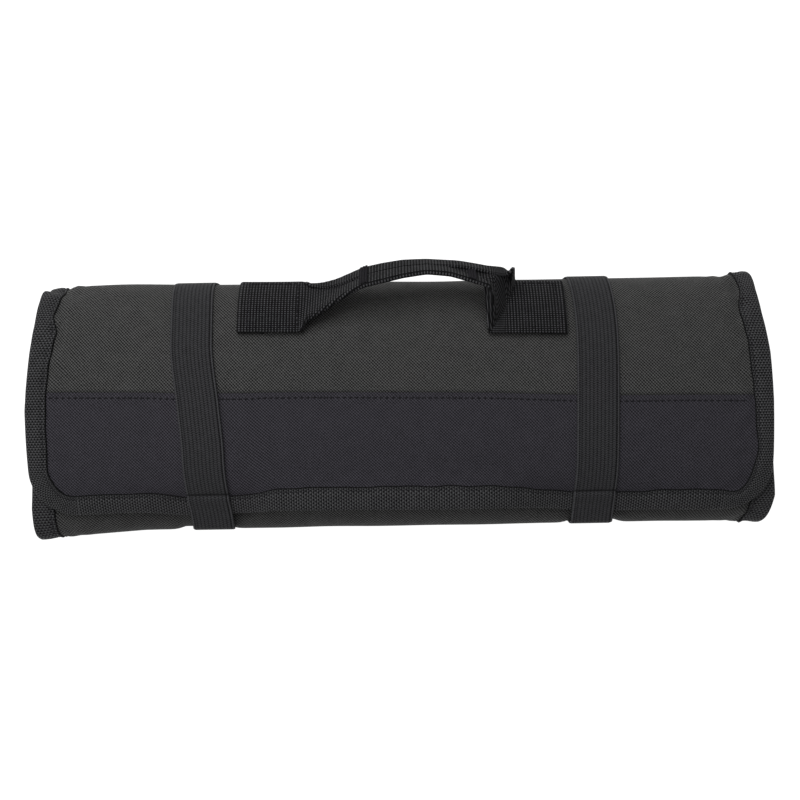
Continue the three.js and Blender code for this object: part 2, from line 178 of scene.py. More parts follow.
# The roll: one padded sheet of two layers of coarse nylon with foam between them, rolled up from
# its inner end into a flattened oval and lying on its broad back. Lengths are in millimetres in
# the sheet's own terms: "along" is the way along the roll and "run" the way from the flap's hem.
ROLL_LENGTH = 490.0
ROLL_HEIGHT = 176.4
ROLL_THICKNESS = 78.3
CORE_THICKNESS = 28.0
TURNS = 2.2
SHEET = 3.0
CORNER_RADIUS = 31.0
STRAP_THICKNESS = 1.4
FIT_GAP = 0.3
TAPE_WIDTH = 15.0
TAPE_WALL = 0.9
TAPE_GAP = 0.65
LAYER_AIR = 0.3
OVAL_FRONT = 2.3
OVAL_BACK = 4.0
BACK_SAG = 1.5
HEM_ANGLE = np.radians(140.0)
TUCKED_TURN = 0.04
half_height = (ROLL_HEIGHT - SHEET) / 2
half_thickness = (ROLL_THICKNESS - SHEET) / 2
rest_height = STRAP_THICKNESS + FIT_GAP + SHEET / 2
tape_proud = TAPE_GAP + TAPE_WALL
tape_reach = SHEET / 2 + tape_proud
layer_pitch = SHEET + 2 * tape_proud + LAYER_AIR
core_depth = half_thickness - (CORE_THICKNESS + SHEET) / 2
tuck_growth = (core_depth / TURNS - layer_pitch) / (TURNS - 1)
tuck_start = layer_pitch - tuck_growth
back_turn = (HEM_ANGLE + np.pi / 2) / (2 * np.pi)


def layer_depth(turn):
    """How far in a layer lies: a share that grows with the turn and with its square."""
    return tuck_start * turn + tuck_growth * turn**2


def smooth(value, start, end):
    """The cubic step from 0 at start to 1 at end."""
    share = np.clip((value - start) / (end - start), 0, 1)
    return share * share * (3 - 2 * share)


def bell(value):
    """The bell curve e to the minus square."""
    return np.exp(-(value**2))


def oval_point(turn, depth):
    """Y and Z on a superellipse, squarer and deeper at the back, cut off flat where it rests."""
    angle = HEM_ANGLE - 2 * np.pi * turn
    cosine, sine = np.cos(angle), np.sin(angle)
    power = 2 / np.where(sine >= 0, OVAL_FRONT, OVAL_BACK)
    sag = np.where(sine >= 0, 0, layer_depth(back_turn) + BACK_SAG)
    floor_depth = layer_depth(back_turn + np.floor(np.maximum(turn, 0))) - layer_depth(back_turn)
    y = (half_height - depth) * np.sign(cosine) * np.abs(cosine) ** power
    z = (half_thickness - depth + sag) * np.sign(sine) * np.abs(sine) ** power
    return y, rest_height + half_thickness + np.maximum(z, floor_depth - half_thickness)


def sample_path(depth_of_turn, first_turn, last_turn):
    """The section's line as arrays: turn, y, z, unit normal and its length from the hem."""
    turn = np.linspace(first_turn, last_turn, 8001)
    y, z = oval_point(turn, depth_of_turn(turn))
    run = np.concatenate([[0], np.cumsum(np.hypot(np.diff(y), np.diff(z)))])
    run -= np.interp(0, turn, run)
    ahead_y, ahead_z = np.gradient(y), np.gradient(z)
    length = np.hypot(ahead_y, ahead_z)
    out_y, out_z = -ahead_z / length, ahead_y / length
    return {"turn": turn, "y": y, "z": z, "out_y": out_y, "out_z": out_z, "run": run}


def read_path(path, run):
    """Every column of a path's table, read at the given runs."""
    columns = ("turn", "y", "z", "out_y", "out_z")
    return {key: np.interp(run, path["run"], path[key]) for key in columns}


sheet_path = sample_path(layer_depth, -TUCKED_TURN, TURNS)
sheet_run = sheet_path["run"][-1]

# How the straps draw the sheet in, how its hem and ends stand out, and how its edges wander.
STRAP_WIDTH = 28.0
STRAP_PLACES = {"strap_left": -132.5, "strap_right": 130.5}
STRAP_SQUEEZE = 5.0
STRAP_SINK = 2.1
press_half = STRAP_WIDTH / 2 + 8.0
SQUEEZE_SPREAD = 34.0
SQUEEZE_TURN = 0.05
HEM_PLACES = [-215, -190, -165, -148, -103, -85, -65, -30, 0, 35, 62, 80, 100, 115, 146, 162, 180, 220]
HEM_SHIFTS = [0, -0.5, -0.75, 5, 3.75, -2.5, -4, -4.5, -4, -3.75, -3, 0, 4, 6, 7.25, 5.75, 3.75, 3.5]
HEM_FLARES = [0, 0.5, 4, 0, 0, 5.25, 6.5, 7, 7, 7, 6.25, 2.5, 0, 0, 0, 0.75, 2, 0.5]
HEM_FADE = 90.0
FLARE_RUN = 30.0
BULGE_LEFT = 6.5
BULGE_RIGHT = 1.0
BULGE_REACH = 70.0
BULGE_TURN = 0.06
EDGE_TURNS = [0, 0.05, 0.14, 0.19, 0.25, 0.3, 0.45, 0.75, 0.89, 1, 1.1, 1.3, 1.45, 1.6, 3]
EDGE_LEFT = [-0.2, -0.3, -1.5, 0.6, 3, 3.6, 3, -3, -3.3, -3, 1, 5.5, 4, 2, 4]
EDGE_RIGHT = [1.5, 1.8, 1.95, 0.9, -2.2, -3, -1, 1.95, 3, 7.5, 2.5, -5.5, -2, 3, 5]


def strap_pull(along, half=press_half, spread=SQUEEZE_SPREAD):
    """One under each strap, falling off as a bell beyond what the strap presses."""
    past = [np.maximum(0, np.abs(along - place) - half) for place in STRAP_PLACES.values()]
    return bell(np.minimum(*past) / spread)


def squeeze(along, turn):
    """The dent of the straps round the lower front shoulder of every layer: a bell that spreads to
    both sides, and below it a narrow one that the straps sink into."""
    phase = turn - np.round(turn)
    wide = STRAP_SQUEEZE * strap_pull(along) * bell(phase / SQUEEZE_TURN)
    return -wide - STRAP_SINK * strap_pull(along, STRAP_WIDTH / 2, 5.0) * bell((phase + 0.11) / 0.06)


def read_table(at, places, table, spread):
    """A table read smoothly: linear between its rows, then averaged over a short way."""
    nudges = np.linspace(-spread, spread, 7)
    return np.mean([np.interp(at + nudge, places, table) for nudge in nudges], axis=0)


def hem_shift(along):
    """How far the hem lies below its place: the straps tug it down, and it rides up between them."""
    return read_table(along, HEM_PLACES, HEM_SHIFTS, 5.0)


def flare(along, run):
    """The hem stands out between the straps, by the square of the way to it."""
    return read_table(along, HEM_PLACES, HEM_FLARES, 5.0) * np.maximum(0, 1 - run / FLARE_RUN) ** 2


def bulge(along, turn):
    """The inner layers stand out below the hem towards both ends, linearly from the bulge's start."""
    share = np.maximum(0, np.abs(along) - ROLL_LENGTH / 2 + BULGE_REACH) / BULGE_REACH
    share = np.where(turn < 0.5, 0, share)
    most = np.where(along < 0, BULGE_LEFT, BULGE_RIGHT)
    return most * share * bell((turn - np.round(turn) + BULGE_TURN) / BULGE_TURN)


def wander(along, turn):
    """How far a place shifts along the roll: the two edges' tables, shared out between them."""
    left, right = np.interp(turn, EDGE_TURNS, EDGE_LEFT), np.interp(turn, EDGE_TURNS, EDGE_RIGHT)
    return left + (right - left) * (along / ROLL_LENGTH + 0.5)


ripple_seed = np.random.default_rng(11)
ripple_table = ripple_seed.uniform(size=(26, 4))


def soft_waves(along, run, longest, shortest):
    """Gentle unevenness between -1 and 1: a sum of sine waves of seeded lengths and headings."""
    total = 0
    for heading, length, phase, share in ripple_table:
        wavelength = longest * (shortest / longest) ** length
        turned = np.pi * heading
        way = along * np.cos(turned) + run * np.sin(turned)
        total = total + (0.4 + share) * np.sin(2 * np.pi * (way / wavelength + phase))
    return total / (0.9 * np.sqrt(len(ripple_table)) * 1.6)


def edge_distance(along, run):
    """The way to the nearest bound edge of the sheet, round the flap's two corners too."""
    across = ROLL_LENGTH / 2 - np.abs(along)
    in_corner = (across < CORNER_RADIUS) & (run < CORNER_RADIUS)
    corner = CORNER_RADIUS - np.hypot(CORNER_RADIUS - across, CORNER_RADIUS - run)
    return np.where(in_corner, corner, np.minimum(np.minimum(across, run), sheet_run - run))


WIDTH_TURNS = [0.07, 0.085, 0.1, 0.12, 0.15, 0.17, 0.19, 0.21, 0.234, 0.265, 0.3, 0.35, 0.42]
WIDTHS_LEFT = [0.95, 0.95, 0.95, 0.95, 0.92, 0.94, 0.98, 1.07, 1.17, 0.82, 0.95, 1, 1]
WIDTHS_RIGHT = [0.85, 0.76, 0.78, 0.83, 0.88, 0.96, 0.93, 0.96, 1.05, 1, 0.78, 0.86, 1]


def tape_share(along, run):
    """How wide the crumpled tape shows at the two ends, as a share of its width: two tables."""
    turn = read_path(sheet_path, run)["turn"]
    left = read_table(turn, WIDTH_TURNS, WIDTHS_LEFT, 0.006)
    right = read_table(turn, WIDTH_TURNS, WIDTHS_RIGHT, 0.006)
    at_ends = smooth(np.abs(along), ROLL_LENGTH / 2 - 40, ROLL_LENGTH / 2 - 20)
    return 1 + (np.where(along < 0, left, right) - 1) * at_ends


def relief(along, run):
    """Low relief of the padded cloth: soft waves, puckers along the tape, all still under the straps."""
    free = 1 - strap_pull(along)
    edge = edge_distance(along, run)
    at_ends = smooth(np.abs(along), 190, 225) * smooth(run, 60, 90)
    puckers = (0.45 + 0.75 * at_ends) * soft_waves(along * 1.9 + 40, run * 1.9, 42, 16)
    puckers = puckers * bell((edge - 17) / 12)
    swell = 0.55 * soft_waves(along, run * 1.3, 190, 60) * smooth(edge, 0, 30)
    hollow = -1.6 * at_ends * bell((edge - 13) / 7) * (0.6 + 0.9 * soft_waves(40 + 0 * along, run, 60, 26))
    return (puckers + swell + hollow) * free


def dents(along, turn):
    """A slanting crease across the upper left corner of every layer, and two soft swellings along
    the same edge: bells of the place along the roll times bells of the turn."""
    phase = turn - np.floor(turn + 0.25)
    crease = bell((along + 238 + (phase - 0.36) * 260) / 9) * bell((phase - 0.36) / 0.035)
    right = 2.0 * bell((along - 240) / 12) * bell((phase - 0.36) / 0.04)
    left = 1.4 * bell((along + 185) / 42) * bell((phase - 0.37) / 0.05)
    return left + right - 5.0 * crease


def on_sheet(along, run, lift):
    """Points of the rolled sheet: the path at the tugged run, moved out by the lift and the dents."""
    at = read_path(sheet_path, run - hem_shift(along) * np.maximum(0, 1 - run / HEM_FADE))
    off = lift + squeeze(along, at["turn"]) + bulge(along, at["turn"]) + dents(along, at["turn"])
    off = off + flare(along, run) + relief(along, run)
    x = along + wander(along, at["turn"])
    return np.stack([x, at["y"] + at["out_y"] * off, at["z"] + at["out_z"] * off], axis=-1)


def half_across(run, inset):
    """Half of the sheet's length, less the rounding of the flap's corners, at a run from the hem."""
    radius = CORNER_RADIUS - inset
    into = np.clip(CORNER_RADIUS - run, 0, radius)
    return ROLL_LENGTH / 2 - CORNER_RADIUS + np.sqrt(radius**2 - into**2)


# The row's frame is centred on the part's box, and the sheet's own on its cut length and its oval.
ROLL_SHIFT = np.array([-0.547, -4.737, 0.0])


def grid_quads(rows, columns, loop_rows=False, loop_columns=False):
    """Corner numbers of a grid's quads, wrapped where it closes, and the same unwrapped for its UVs."""
    row_steps, column_steps = np.arange(rows - (not loop_rows)), np.arange(columns - (not loop_columns))
    i, j = np.meshgrid(row_steps, column_steps, indexing="ij")
    corners_i = np.stack([i, i + 1, i + 1, i], axis=-1).reshape(-1, 4)
    corners_j = np.stack([j, j, j + 1, j + 1], axis=-1).reshape(-1, 4)
    wrapped = (corners_i % rows) * columns + corners_j % columns
    return wrapped, corners_i * (columns + 1) + corners_j


def make_piece(name, points, quads, cloth, material, replaced=None):
    """A piece from its points in the sheet's frame, its quads and each corner's place on the cloth."""
    mesh = bpy.data.meshes.new(name)
    placed = ((points.reshape(-1, 3) + ROLL_SHIFT) / 1000).astype(np.float32)
    mesh.vertices.add(len(placed))
    mesh.vertices.foreach_set("co", placed.ravel())
    mesh.loops.add(quads.size)
    mesh.loops.foreach_set("vertex_index", quads.astype(np.int32).ravel())
    mesh.polygons.add(len(quads))
    mesh.polygons.foreach_set("loop_start", np.arange(0, quads.size, 4, dtype=np.int32))
    mesh.polygons.foreach_set("loop_total", np.full(len(quads), 4, np.int32))
    mesh.polygons.foreach_set("use_smooth", np.ones(len(quads), bool))
    mesh.update(calc_edges=True)
    mesh.uv_layers.new(name="cloth").data.foreach_set("uv", cloth.astype(np.float32).ravel())
    mesh.validate()
    mesh.materials.append(material)
    piece = bpy.data.objects.new(name, mesh)
    bpy.context.scene.collection.objects.link(piece)
    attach(piece, "root")
    if replaced:
        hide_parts(replaced)
    return piece


def grid_normals(middle, loop_rows=False):
    """Unit normals of a grid of points, from the steps along its rows and columns."""
    down = (np.roll(middle, -1, 0) - np.roll(middle, 1, 0)) if loop_rows else np.gradient(middle, axis=0)
    normals = np.cross(down, np.gradient(middle, axis=1))
    return normals / np.linalg.norm(normals, axis=-1, keepdims=True)


def slab_faces(rows, columns, loop_rows=False):
    """Quads of a sheet with two faces and its rims: the upper grid, the lower grid, and the sides."""
    upper, cloth = grid_quads(rows, columns, loop_rows)
    count = rows * columns
    lower = upper[:, ::-1] + count
    strips = [upper, lower]
    cloths = [cloth, cloth[:, ::-1]]
    i = np.arange(rows if loop_rows else rows - 1)
    for j, flip in ((0, False), (columns - 1, True)):
        a, b = i * columns + j, ((i + 1) % rows) * columns + j
        side = np.stack([a, a + count, b + count, b], axis=-1)
        uv_side = np.stack([i, i, i + 1, i + 1], axis=-1) * (columns + 1) + j
        strips.append(side[:, ::-1] if flip else side)
        cloths.append(uv_side[:, ::-1] if flip else uv_side)
    if not loop_rows:
        j = np.arange(columns - 1)
        for row, flip in ((0, True), (rows - 1, False)):
            a, b = row * columns + j, row * columns + j + 1
            side = np.stack([a, a + count, b + count, b], axis=-1)
            uv_side = np.stack([j, j, j + 1, j + 1], axis=-1) + row * (columns + 1)
            strips.append(side[:, ::-1] if flip else side)
            cloths.append(uv_side[:, ::-1] if flip else uv_side)
    return np.concatenate(strips), np.concatenate(cloths)


def signed_volume(points, quads):
    """Six times the volume inside the quads, negative where they face in."""
    a, b, c, d = (points[quads[:, k]] for k in range(4))
    return np.sum(a * (np.cross(b, c) + np.cross(c, d)))


def make_slab(name, middle, halves, cloth_grid, material, replaced=None, loop_rows=False):
    """A cloth of two faces about its middle: each point moved out and in along the normal, by its
    upper and its lower half thickness."""
    upper_half, lower_half = halves
    rows, columns = middle.shape[:2]
    normals = grid_normals(middle, loop_rows)
    upper = middle + normals * upper_half[..., None]
    lower = middle - normals * lower_half[..., None]
    points = np.concatenate([upper.reshape(-1, 3), lower.reshape(-1, 3)])
    quads, cloth_quads = slab_faces(rows, columns, loop_rows)
    padded_cloth = np.pad(cloth_grid, ((0, 1), (0, 1), (0, 0)), mode="edge")
    if loop_rows:
        padded_cloth[-1] = 2 * padded_cloth[-2] - padded_cloth[-3]
    if signed_volume(points, quads) < 0:
        quads, cloth_quads = quads[:, ::-1], cloth_quads[:, ::-1]
    cloth = padded_cloth.reshape(-1, 2)[cloth_quads]
    return make_piece(name, points, quads, cloth, material, replaced)


SHELL_DARK = (0.003, 0.003, 0.003)
SHELL_LIGHT = (0.078, 0.078, 0.077)
YARN = 1.05


def finish_cloth(material, start, colour, roughness, height, depth):
    """Ends a cloth's nodes: its colour and roughness, its height as a bump, and a faint sheen."""
    shader = start.node(
        "ShaderNodeBsdfPrincipled",
        Base_Color=colour,
        Roughness=roughness,
        Normal=start.node("ShaderNodeBump", Height=height, Distance=depth / 1000, Strength=0.9),
        Sheen_Weight=0.02,
        Sheen_Roughness=0.5,
        Specular_IOR_Level=0.15,
    )
    return finish_material(material, shader)


def woven_cloth(name, dark, light, yarn, depth, roughness):
    """Plain-woven coarse nylon: yarns that pass over and under each other, so that the crossings
    stand in slanting rows, one slant stronger than the other, with dark holes between."""
    material, start = new_material(name)
    place = start.node("ShaderNodeUVMap", {"uv_map": "cloth"})
    across, down = place.places()
    uneven = start.node("ShaderNodeTexNoise", Vector=place, Scale=0.11, Detail=3.0)
    slub = start.node("ShaderNodeTexNoise", Vector=place, Scale=0.7, Detail=2.0)
    crossing = (across + down).wave(2 * yarn) * 0.62 + (across - down).wave(2 * yarn) * 0.4
    height = crossing.rise(-0.6, 0.7)
    shade = height * 0.86 + uneven * 0.2 + slub * 0.5 - 0.28
    colour, rough = shade.tint(dark, light), 1.0 - (shade * (1.0 - roughness))
    return finish_cloth(material, start, colour, rough, height, depth)


shell_cloth = woven_cloth("shell_cloth", SHELL_DARK, SHELL_LIGHT, YARN, 0.25, 0.62)


def sheet_halves(along, run):
    """Half thickness of the padded sheet above and below its middle, pinched beside the tape."""
    past_tape = edge_distance(along, run) - TAPE_WIDTH * tape_share(along, run)
    pinch = 0.45 * bell(past_tape / 5.0) + 0.45 * bell((past_tape - 0.5) / 1.4)
    return SHEET / 2 - pinch, SHEET / 2 - 0.3 * pinch


SEAM_LEFT = 84.0
SEAM_RIGHT = 74.5
SEAM_GAP = 0.02
PANEL_WIDTH = 79.0
VISIBLE_SHARE = 0.58
sheet_inset = TAPE_WALL + 2 * TAPE_GAP


def seam_run(along):
    """The run of the slanting seam between panel and shell."""
    return SEAM_LEFT + (SEAM_RIGHT - SEAM_LEFT) * (along / ROLL_LENGTH + 0.5)


def sheet_grid(first_run, last_run, row_shares, columns):
    """Places on the sheet: rows between two runs, columns from one bound end to the other."""
    share = np.linspace(-1, 1, columns)[None, :]
    rough = first_run(0.0) + (last_run(0.0) - first_run(0.0)) * row_shares[:, None]
    along = share * half_across(rough, sheet_inset)
    run = first_run(along) + (last_run(along) - first_run(along)) * row_shares[:, None]
    return along, run


FINE_SHARE = 0.57
shell_rows = np.concatenate([np.linspace(0, FINE_SHARE, 190), np.linspace(FINE_SHARE, 1, 46)[1:]])
shell_along, shell_run = sheet_grid(
    lambda along: seam_run(along) + SEAM_GAP,
    lambda along: sheet_run - sheet_inset + 0 * along,
    shell_rows,
    200,
)
roll_shell = make_slab(
    "roll_shell_cloth",
    on_sheet(shell_along, shell_run, 0.0),
    sheet_halves(shell_along, shell_run),
    np.stack([shell_along, shell_run], axis=-1),
    shell_cloth,
    "roll_shell",
)
shell_flat = (ROLL_LENGTH - 2 * sheet_inset) / 1000, (sheet_run - PANEL_WIDTH) / 1000


# The flap's panel: the same padded sheet, faced with a bluish black cloth of the same weave. Its
# upper edge is turned in and topstitched over the shell.
TOPSTITCH_IN = 3.6
PANEL_DARK = (0.007, 0.0066, 0.0082)
PANEL_LIGHT = (0.048, 0.045, 0.0555)
panel_cloth = woven_cloth("panel_cloth", PANEL_DARK, PANEL_LIGHT, YARN, 0.2, 0.66)
panel_rows = np.concatenate([np.linspace(0, 0.9, 84), np.linspace(0.9, 1, 22)[1:]])
panel_along, panel_run = sheet_grid(
    lambda along: sheet_inset + 0 * along,
    lambda along: seam_run(along) - SEAM_GAP,
    panel_rows,
    300,
)
panel_upper, panel_lower = sheet_halves(panel_along, panel_run)
folded_edge = seam_run(panel_along) - panel_run
stitch_groove = 0.6 * bell((folded_edge - TOPSTITCH_IN) / 0.8)
panel_upper = panel_upper + 0.75 * smooth(folded_edge, 9, 0.8) - stitch_groove
flap_panel = make_slab(
    "flap_panel_cloth",
    on_sheet(panel_along, panel_run, 0.0),
    (panel_upper, panel_lower),
    np.stack([panel_along, panel_run], axis=-1),
    panel_cloth,
    "flap_panel",
)


# Stitching: thick black thread in short stitches, each a low arch that dips into the cloth at
# both of its ends. The panel's topstitching runs just below its turned edge.
THREAD = 0.42
STITCH_SHOWN = 0.72
thread_finish, thread_nodes = new_material("sewing_thread")
thread_place = thread_nodes.node("ShaderNodeUVMap", {"uv_map": "cloth"})
thread_along = thread_nodes.node("ShaderNodeSeparateXYZ", Vector=thread_place)
ply = thread_along.wave(0.7) * 0.5 + 0.5
thread_shader = thread_nodes.node(
    "ShaderNodeBsdfPrincipled",
    Base_Color=ply.tint((0.003, 0.0027, 0.0038), (0.024, 0.0225, 0.0265)),
    Roughness=0.8,
    Normal=thread_nodes.node("ShaderNodeBump", Height=ply, Distance=0.0001, Strength=0.6),
    Specular_IOR_Level=0.12,
)
finish_material(thread_finish, thread_shader)


def sew(name, start_points, end_points, outward, slot, rise=0.35, thickness=THREAD):
    """Stitches from their ends: a tube of six sides through five stations, arched by a half sine."""
    share = np.linspace(0, 1, 5)[None, :, None]
    centre = start_points[:, None] * (1 - share) + end_points[:, None] * share
    centre = centre + outward[:, None] * (rise * np.sin(np.pi * share) - 0.15)
    heading = end_points - start_points
    heading = heading / np.linalg.norm(heading, axis=-1, keepdims=True)
    side = np.cross(heading, outward)
    side = side / np.linalg.norm(side, axis=-1, keepdims=True)
    angle = np.linspace(0, 2 * np.pi, 7)[:-1]
    radius = thickness * (0.35 + 0.65 * np.sin(np.pi * np.clip(share, 0.08, 0.92)))[..., None]
    round_part = side[:, None, None] * np.cos(angle)[None, None, :, None]
    round_part = round_part + outward[:, None, None] * np.sin(angle)[None, None, :, None]
    points = centre[:, :, None] + radius * round_part
    quads, cloth_quads = grid_quads(5, 6, loop_columns=True)
    caps = np.array([[0, 1, 2, 3], [0, 3, 4, 5], [27, 26, 25, 24], [29, 28, 27, 24]])
    cap_cloth = np.zeros((4, 4), int)
    one_quads = np.concatenate([quads, caps])
    if signed_volume(points[0].reshape(-1, 3), one_quads) < 0:
        one_quads = one_quads[:, ::-1]
    every = (one_quads[None] + 30 * np.arange(len(points))[:, None, None]).reshape(-1, 4)
    length_grid = np.repeat(np.linspace(0, 4, 6), 7)
    around_grid = np.tile(np.linspace(0, 2.6, 7), 6)
    one_cloth = np.stack([length_grid, around_grid], axis=-1)
    one_cloth = one_cloth[np.concatenate([cloth_quads, cap_cloth])]
    cloth = np.tile(one_cloth.reshape(-1, 2), (len(points), 1))
    return make_piece(name, points, every, cloth, thread_finish)


def sheet_stitches(along, run, lift, step_along, step_run):
    """Ends and outward directions of stitches centred at places on the sheet."""
    first = on_sheet(along - step_along / 2, run - step_run / 2, lift)
    last = on_sheet(along + step_along / 2, run + step_run / 2, lift)
    above = on_sheet(along, run, lift + 1.0) - on_sheet(along, run, lift)
    return first, last, above / np.linalg.norm(above, axis=-1, keepdims=True)


STITCH = 4.0
seam_places = np.arange(-228, 228, STITCH)
seam_line = seam_run(seam_places) - TOPSTITCH_IN
seam_ends = sheet_stitches(seam_places, seam_line, SHEET / 2 + 0.12, STITCH * STITCH_SHOWN, 0.0)
sew("panel_topstitching", *seam_ends, "panel_cloth", rise=0.25, thickness=0.52)


# The edge binding: ribbed tape folded over the raw edge of the sheet, carried round the whole of
# its outline and sewn through close to the tape's inner edges, which it presses into the padding.
TAPE_SEWN_IN = 12.4
TAPE_FOLD = 3.2
TAPE_CROWN = 0.35
CRUMPLE = 0.05
TAPE_DARK = (0.001, 0.001, 0.0013)
TAPE_LIGHT = (0.066, 0.066, 0.069)


def ribbed_tape(name, dark, light, rib, dot, depth, staggered, selvedge=-99.0):
    """Coarse ribbed weave: ribs across the band, broken into dots by the lengthwise yarns, staggered or in
    line, and darkened with painted shade up to its selvedge."""
    material, start = new_material(name)
    place = start.node("ShaderNodeUVMap", {"uv_map": "cloth"})
    across, down = place.places()
    uneven = start.node("ShaderNodeTexNoise", Vector=place, Scale=0.16, Detail=3.0)
    fuzz = start.node("ShaderNodeTexNoise", Vector=place, Scale=1.3, Detail=2.0)
    if staggered:
        dots = across.wave(2 * rib) * down.wave(dot) * 0.65 + across.wave(rib) * 0.4
    else:
        dots = (across.wave(rib) + 1.0) * (down.wave(dot) * 0.42 + 0.6) - 1.0
    height = dots.rise(-0.45, 0.55)
    # Painted shade: the colour fades to dark towards the selvedge, for the shadow where the tape's edge meets
    # what it lies on.
    shade = (height * 0.85 + uneven * 0.25 + fuzz * 0.6 - 0.42) * down.rise(selvedge, selvedge + 1.2)
    return finish_cloth(material, start, shade.tint(dark, light), 0.95 - shade * 0.3, height, depth)


# The edge tape's last number puts painted shade along its sewn inner edge, over about the first millimetre
# and a half.
tape_weave = ribbed_tape("edge_tape", TAPE_DARK, TAPE_LIGHT, 1.65, 2.2, 0.32, True, 0.2)
CORNER_STEPS = 14


def sheet_outline():
    """The outline of the sheet as places and inward directions: the hem, a rounded corner, a side, the inner
    end, the other side and the other rounded corner."""
    straight = ROLL_LENGTH / 2 - CORNER_RADIUS
    hem = np.linspace(-straight, straight, 300)
    angle = np.radians(np.linspace(0, 90, CORNER_STEPS + 2)[1:-1])
    visible_run = VISIBLE_SHARE * sheet_run
    visible = np.linspace(CORNER_RADIUS, visible_run, 210)
    side_run = np.concatenate([visible, np.linspace(visible_run, sheet_run, 46)[1:]])
    end = np.linspace(ROLL_LENGTH / 2, -ROLL_LENGTH / 2, 40)[1:-1]
    parts = [(hem, 0 * hem, 0 * hem, 1 + 0 * hem)]
    for side in (1, -1):
        corner = (
            side * (straight + CORNER_RADIUS * np.sin(angle)),
            CORNER_RADIUS * (1 - np.cos(angle)),
            -side * np.sin(angle),
            np.cos(angle),
        )
        edge = (side * ROLL_LENGTH / 2 + 0 * side_run, side_run, -side + 0 * side_run, 0 * side_run)
        both = [np.concatenate(pair) for pair in zip(corner, edge)]
        both[3][-1] = -1.0
        parts.append(both if side == 1 else [column[::-1] for column in both])
        if side == 1:
            parts.append((end, sheet_run + 0 * end, 0 * end, -1 + 0 * end))
    return [np.concatenate(columns) for columns in zip(*parts)]


out_along, out_run, in_along, in_run = sheet_outline()
out_step = np.hypot(np.diff(out_along, append=out_along[0]), np.diff(out_run, append=out_run[0]))
out_length = np.concatenate([[0], np.cumsum(out_step)[:-1]])


def tape_section():
    """The folded tape's outer line: in from the sewn edge, a rounded fold, and back on the other
    side. Columns are the way in from the sheet's edge, the lift and the way over the tape."""
    face = np.concatenate([np.linspace(TAPE_WIDTH, 11.0, 11), np.linspace(11.0, TAPE_FOLD, 7)[1:]])
    sewn = 0.6 * bell((face - TAPE_SEWN_IN) / 1.3) + 0.9 * smooth(face, 14.2, TAPE_WIDTH)
    arch = TAPE_CROWN * np.sin(np.pi * (face - TAPE_FOLD) / (TAPE_WIDTH - TAPE_FOLD))
    crown = tape_reach - TAPE_CROWN + arch - sewn
    angle = np.linspace(0, np.pi, 13)[1:-1]
    fold_in = TAPE_FOLD - TAPE_FOLD * np.sin(angle)
    fold_lift = (tape_reach - TAPE_CROWN) * np.cos(angle)
    inward = np.concatenate([face, fold_in, face[::-1]])
    lift = np.concatenate([crown, fold_lift, -crown[::-1]])
    over = np.concatenate([[0], np.cumsum(np.hypot(np.diff(inward), np.diff(lift)))])
    return inward, lift, over


tape_inward, tape_lift, tape_over = tape_section()
inner_inward = np.maximum(tape_inward[::-1], TAPE_WALL)
inner_lift = np.sign(tape_lift[::-1]) * np.maximum(np.abs(tape_lift[::-1]) - TAPE_WALL, 0.02)
loop_inward = np.concatenate([tape_inward, inner_inward])
loop_lift = np.concatenate([tape_lift, inner_lift])
loop_over = np.concatenate([tape_over, tape_over[::-1]])
from_joint = np.minimum(out_length, out_length[-1] - out_length)
crinkle = soft_waves(out_length * 0.9, 0 * out_length, 46, 18) * smooth(from_joint, 0, 25)
tape_shares = tape_share(out_along, out_run)
depth_in = loop_inward[None, :] * (tape_shares + CRUMPLE * crinkle)[:, None]
tape_along = out_along[:, None] + in_along[:, None] * depth_in
tape_run = out_run[:, None] + in_run[:, None] * depth_in
pinch_lift = loop_lift[None, :] * (1 + 0.06 * crinkle[::-1][:, None])
tape_points = on_sheet(tape_along, tape_run, pinch_lift)
tape_quads, tape_cloth_quads = grid_quads(len(out_along), len(loop_inward), True, True)
closed_length = np.append(out_length, out_length[-1] + out_step[-1])
closed_over = np.append(loop_over, loop_over[-1])
tape_cloth = np.stack(np.meshgrid(closed_length, closed_over, indexing="ij"), axis=-1).reshape(-1, 2)
if signed_volume(tape_points.reshape(-1, 3), tape_quads) < 0:
    tape_quads, tape_cloth_quads = tape_quads[:, ::-1], tape_cloth_quads[:, ::-1]
edge_binding = make_piece(
    "edge_binding_tape",
    tape_points,
    tape_quads,
    tape_cloth[tape_cloth_quads],
    tape_weave,
    "edge_binding",
)

BINDING_STITCH = 3.6
stitch_ways = np.arange(2.0, closed_length[-1] - 2, BINDING_STITCH)
stitch_way_along = np.interp(stitch_ways, out_length, out_along)
stitch_way_run = np.interp(stitch_ways, out_length, out_run)
stitch_in_along = np.interp(stitch_ways, out_length, in_along)
stitch_in_run = np.interp(stitch_ways, out_length, in_run)
kept = stitch_way_run < VISIBLE_SHARE * sheet_run
sewn_in = TAPE_SEWN_IN * np.interp(stitch_ways, out_length, tape_shares + CRUMPLE * crinkle)
sewn_along = (stitch_way_along + stitch_in_along * sewn_in)[kept]
sewn_run = (stitch_way_run + stitch_in_run * sewn_in)[kept]
step_along = (stitch_in_run * BINDING_STITCH * STITCH_SHOWN)[kept]
step_run = (-stitch_in_along * BINDING_STITCH * STITCH_SHOWN)[kept]
binding_ends = sheet_stitches(sewn_along, sewn_run, tape_reach - 0.85, step_along, step_run)
sew("binding_stitching", *binding_ends, "edge_tape", thickness=0.34)


